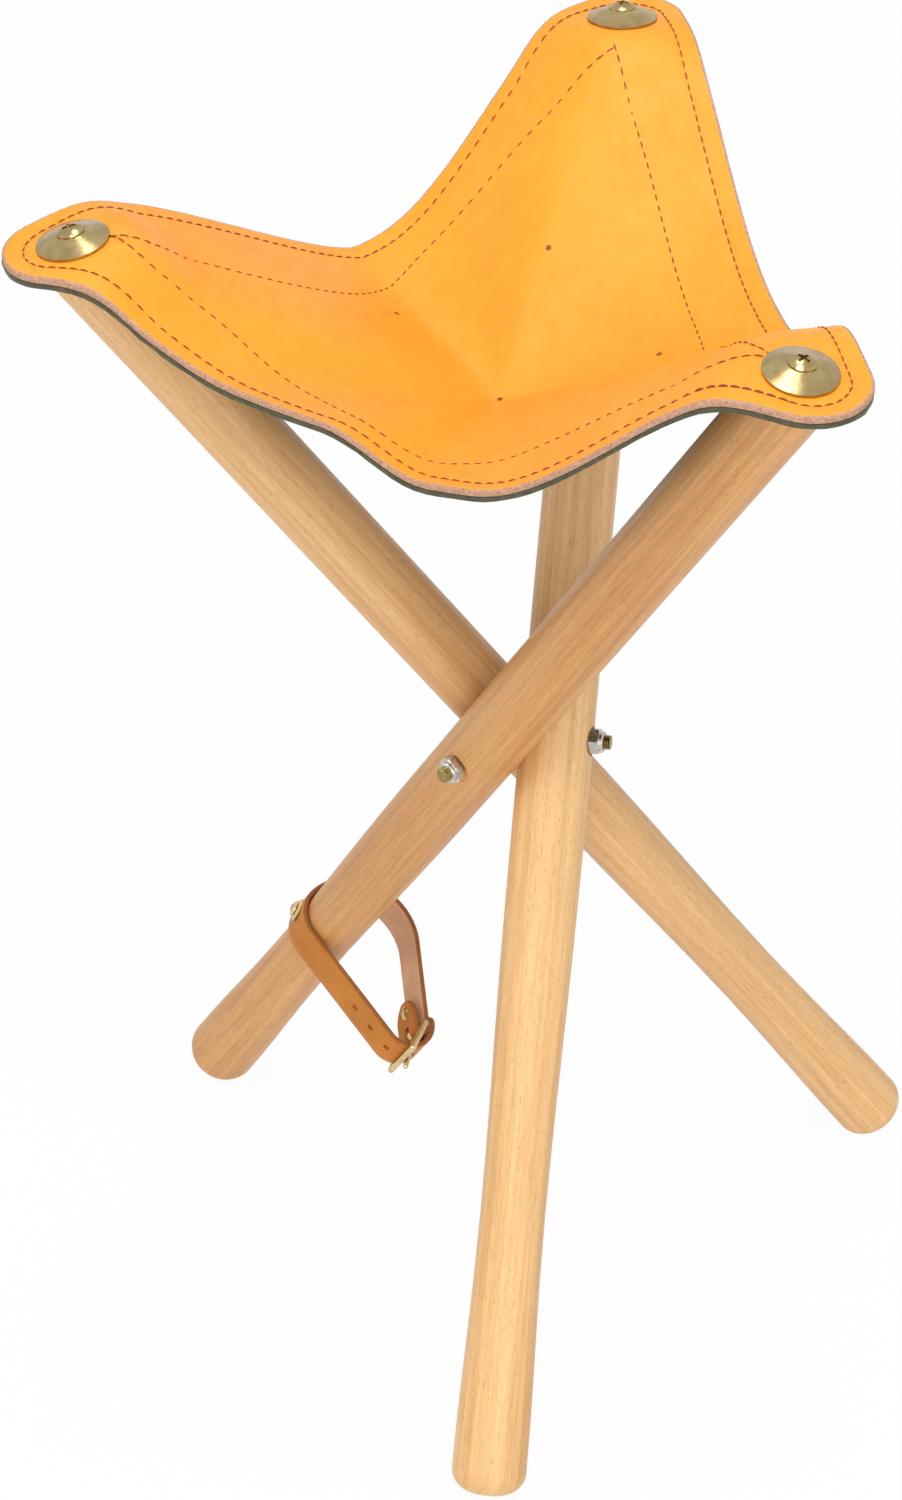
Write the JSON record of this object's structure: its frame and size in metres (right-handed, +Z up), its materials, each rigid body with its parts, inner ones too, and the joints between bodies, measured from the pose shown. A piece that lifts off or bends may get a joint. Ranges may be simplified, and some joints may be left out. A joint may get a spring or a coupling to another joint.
{
  "type": "folding tripod stool",
  "caption": "Folding tripod stool: turned wooden legs cross on a common bolt and carry a sagging leather sling seat; a buckled leather strap holds the folded bundle.",
  "frame": {"origin": "on the floor under the middle of the open stool's bounding box", "axes": "+Z up; -Y towards the foot of the front leg; +X to the right as that foot is faced"},
  "size_m": [0.334, 0.3636, 0.5204],
  "materials": {
    "beech": "clear satin varnish",
    "seat_leather": "smooth, semi-gloss",
    "strap_leather": "smooth, semi-gloss",
    "felt": "matte felt",
    "brass": "polished plate",
    "yellow_zinc": "yellow zinc plate",
    "silver_zinc": "bright zinc plate",
    "nylon": "natural nylon"
  },
  "bodies": {
    "hub": {"three_way_bolt": "yellow_zinc", "lock_nut_left": "silver_zinc", "lock_nut_front": "silver_zinc", "lock_nut_right": "silver_zinc", "nylon_ring_left": "nylon", "nylon_ring_front": "nylon", "nylon_ring_right": "nylon", "seat_leather": "seat_leather", "seat_backing": "felt"},
    "left_leg": {"leg_left": "beech", "cone_washer_left": "brass", "seat_screw_left": "brass", "strap_cup_washer": "brass", "strap_screw": "brass"},
    "front_leg": {"leg_front": "beech", "cone_washer_front": "brass", "seat_screw_front": "brass"},
    "right_leg": {"leg_right": "beech", "cone_washer_right": "brass", "seat_screw_right": "brass"},
    "strap_loop": {"strap": "strap_leather", "strap_rivet": "brass", "buckle_frame": "brass"},
    "prong": {"buckle_prong": "brass"}
  },
  "joints": [
    {"name": "fold_left", "type": "hinge", "parent": "hub", "child": "left_leg", "pos_m": [0.01094, -0.00123, 0.26806], "axis": [-0.5002, -0.8658, 0.0144], "range_deg": [0, 30.4], "deforming": ["seat_leather", "seat_backing", "strap"]},
    {"name": "fold_front", "type": "hinge", "parent": "hub", "child": "front_leg", "pos_m": [0.01094, -0.00123, 0.26806], "axis": [0.9996, 0.0005, 0.0278], "range_deg": [0, 26.73]},
    {"name": "fold_right", "type": "hinge", "parent": "hub", "child": "right_leg", "pos_m": [0.01094, -0.00123, 0.26806], "axis": [-0.4994, 0.8653, -0.0422], "range_deg": [0, 28.32]},
    {"name": "strap_swing", "type": "hinge", "parent": "left_leg", "child": "strap_loop", "pos_m": [-0.07912, 0.02675, 0.12717], "axis": [-0.4787, 0.2626, -0.8378], "range_deg": [0, 36.5]},
    {"name": "prong_swing", "type": "hinge", "parent": "strap_loop", "child": "prong", "pos_m": [-0.03537, 0.00073, 0.09401], "axis": [0.4787, -0.2626, 0.8378], "range_deg": [0, 7]}
  ],
  "couplings": [
    {"joint": "fold_front", "follows": "fold_left", "ratio": 0.87853},
    {"joint": "fold_right", "follows": "fold_left", "ratio": 0.93079},
    {"joint": "strap_swing", "follows": "fold_left", "ratio": 1.2}
  ]
}
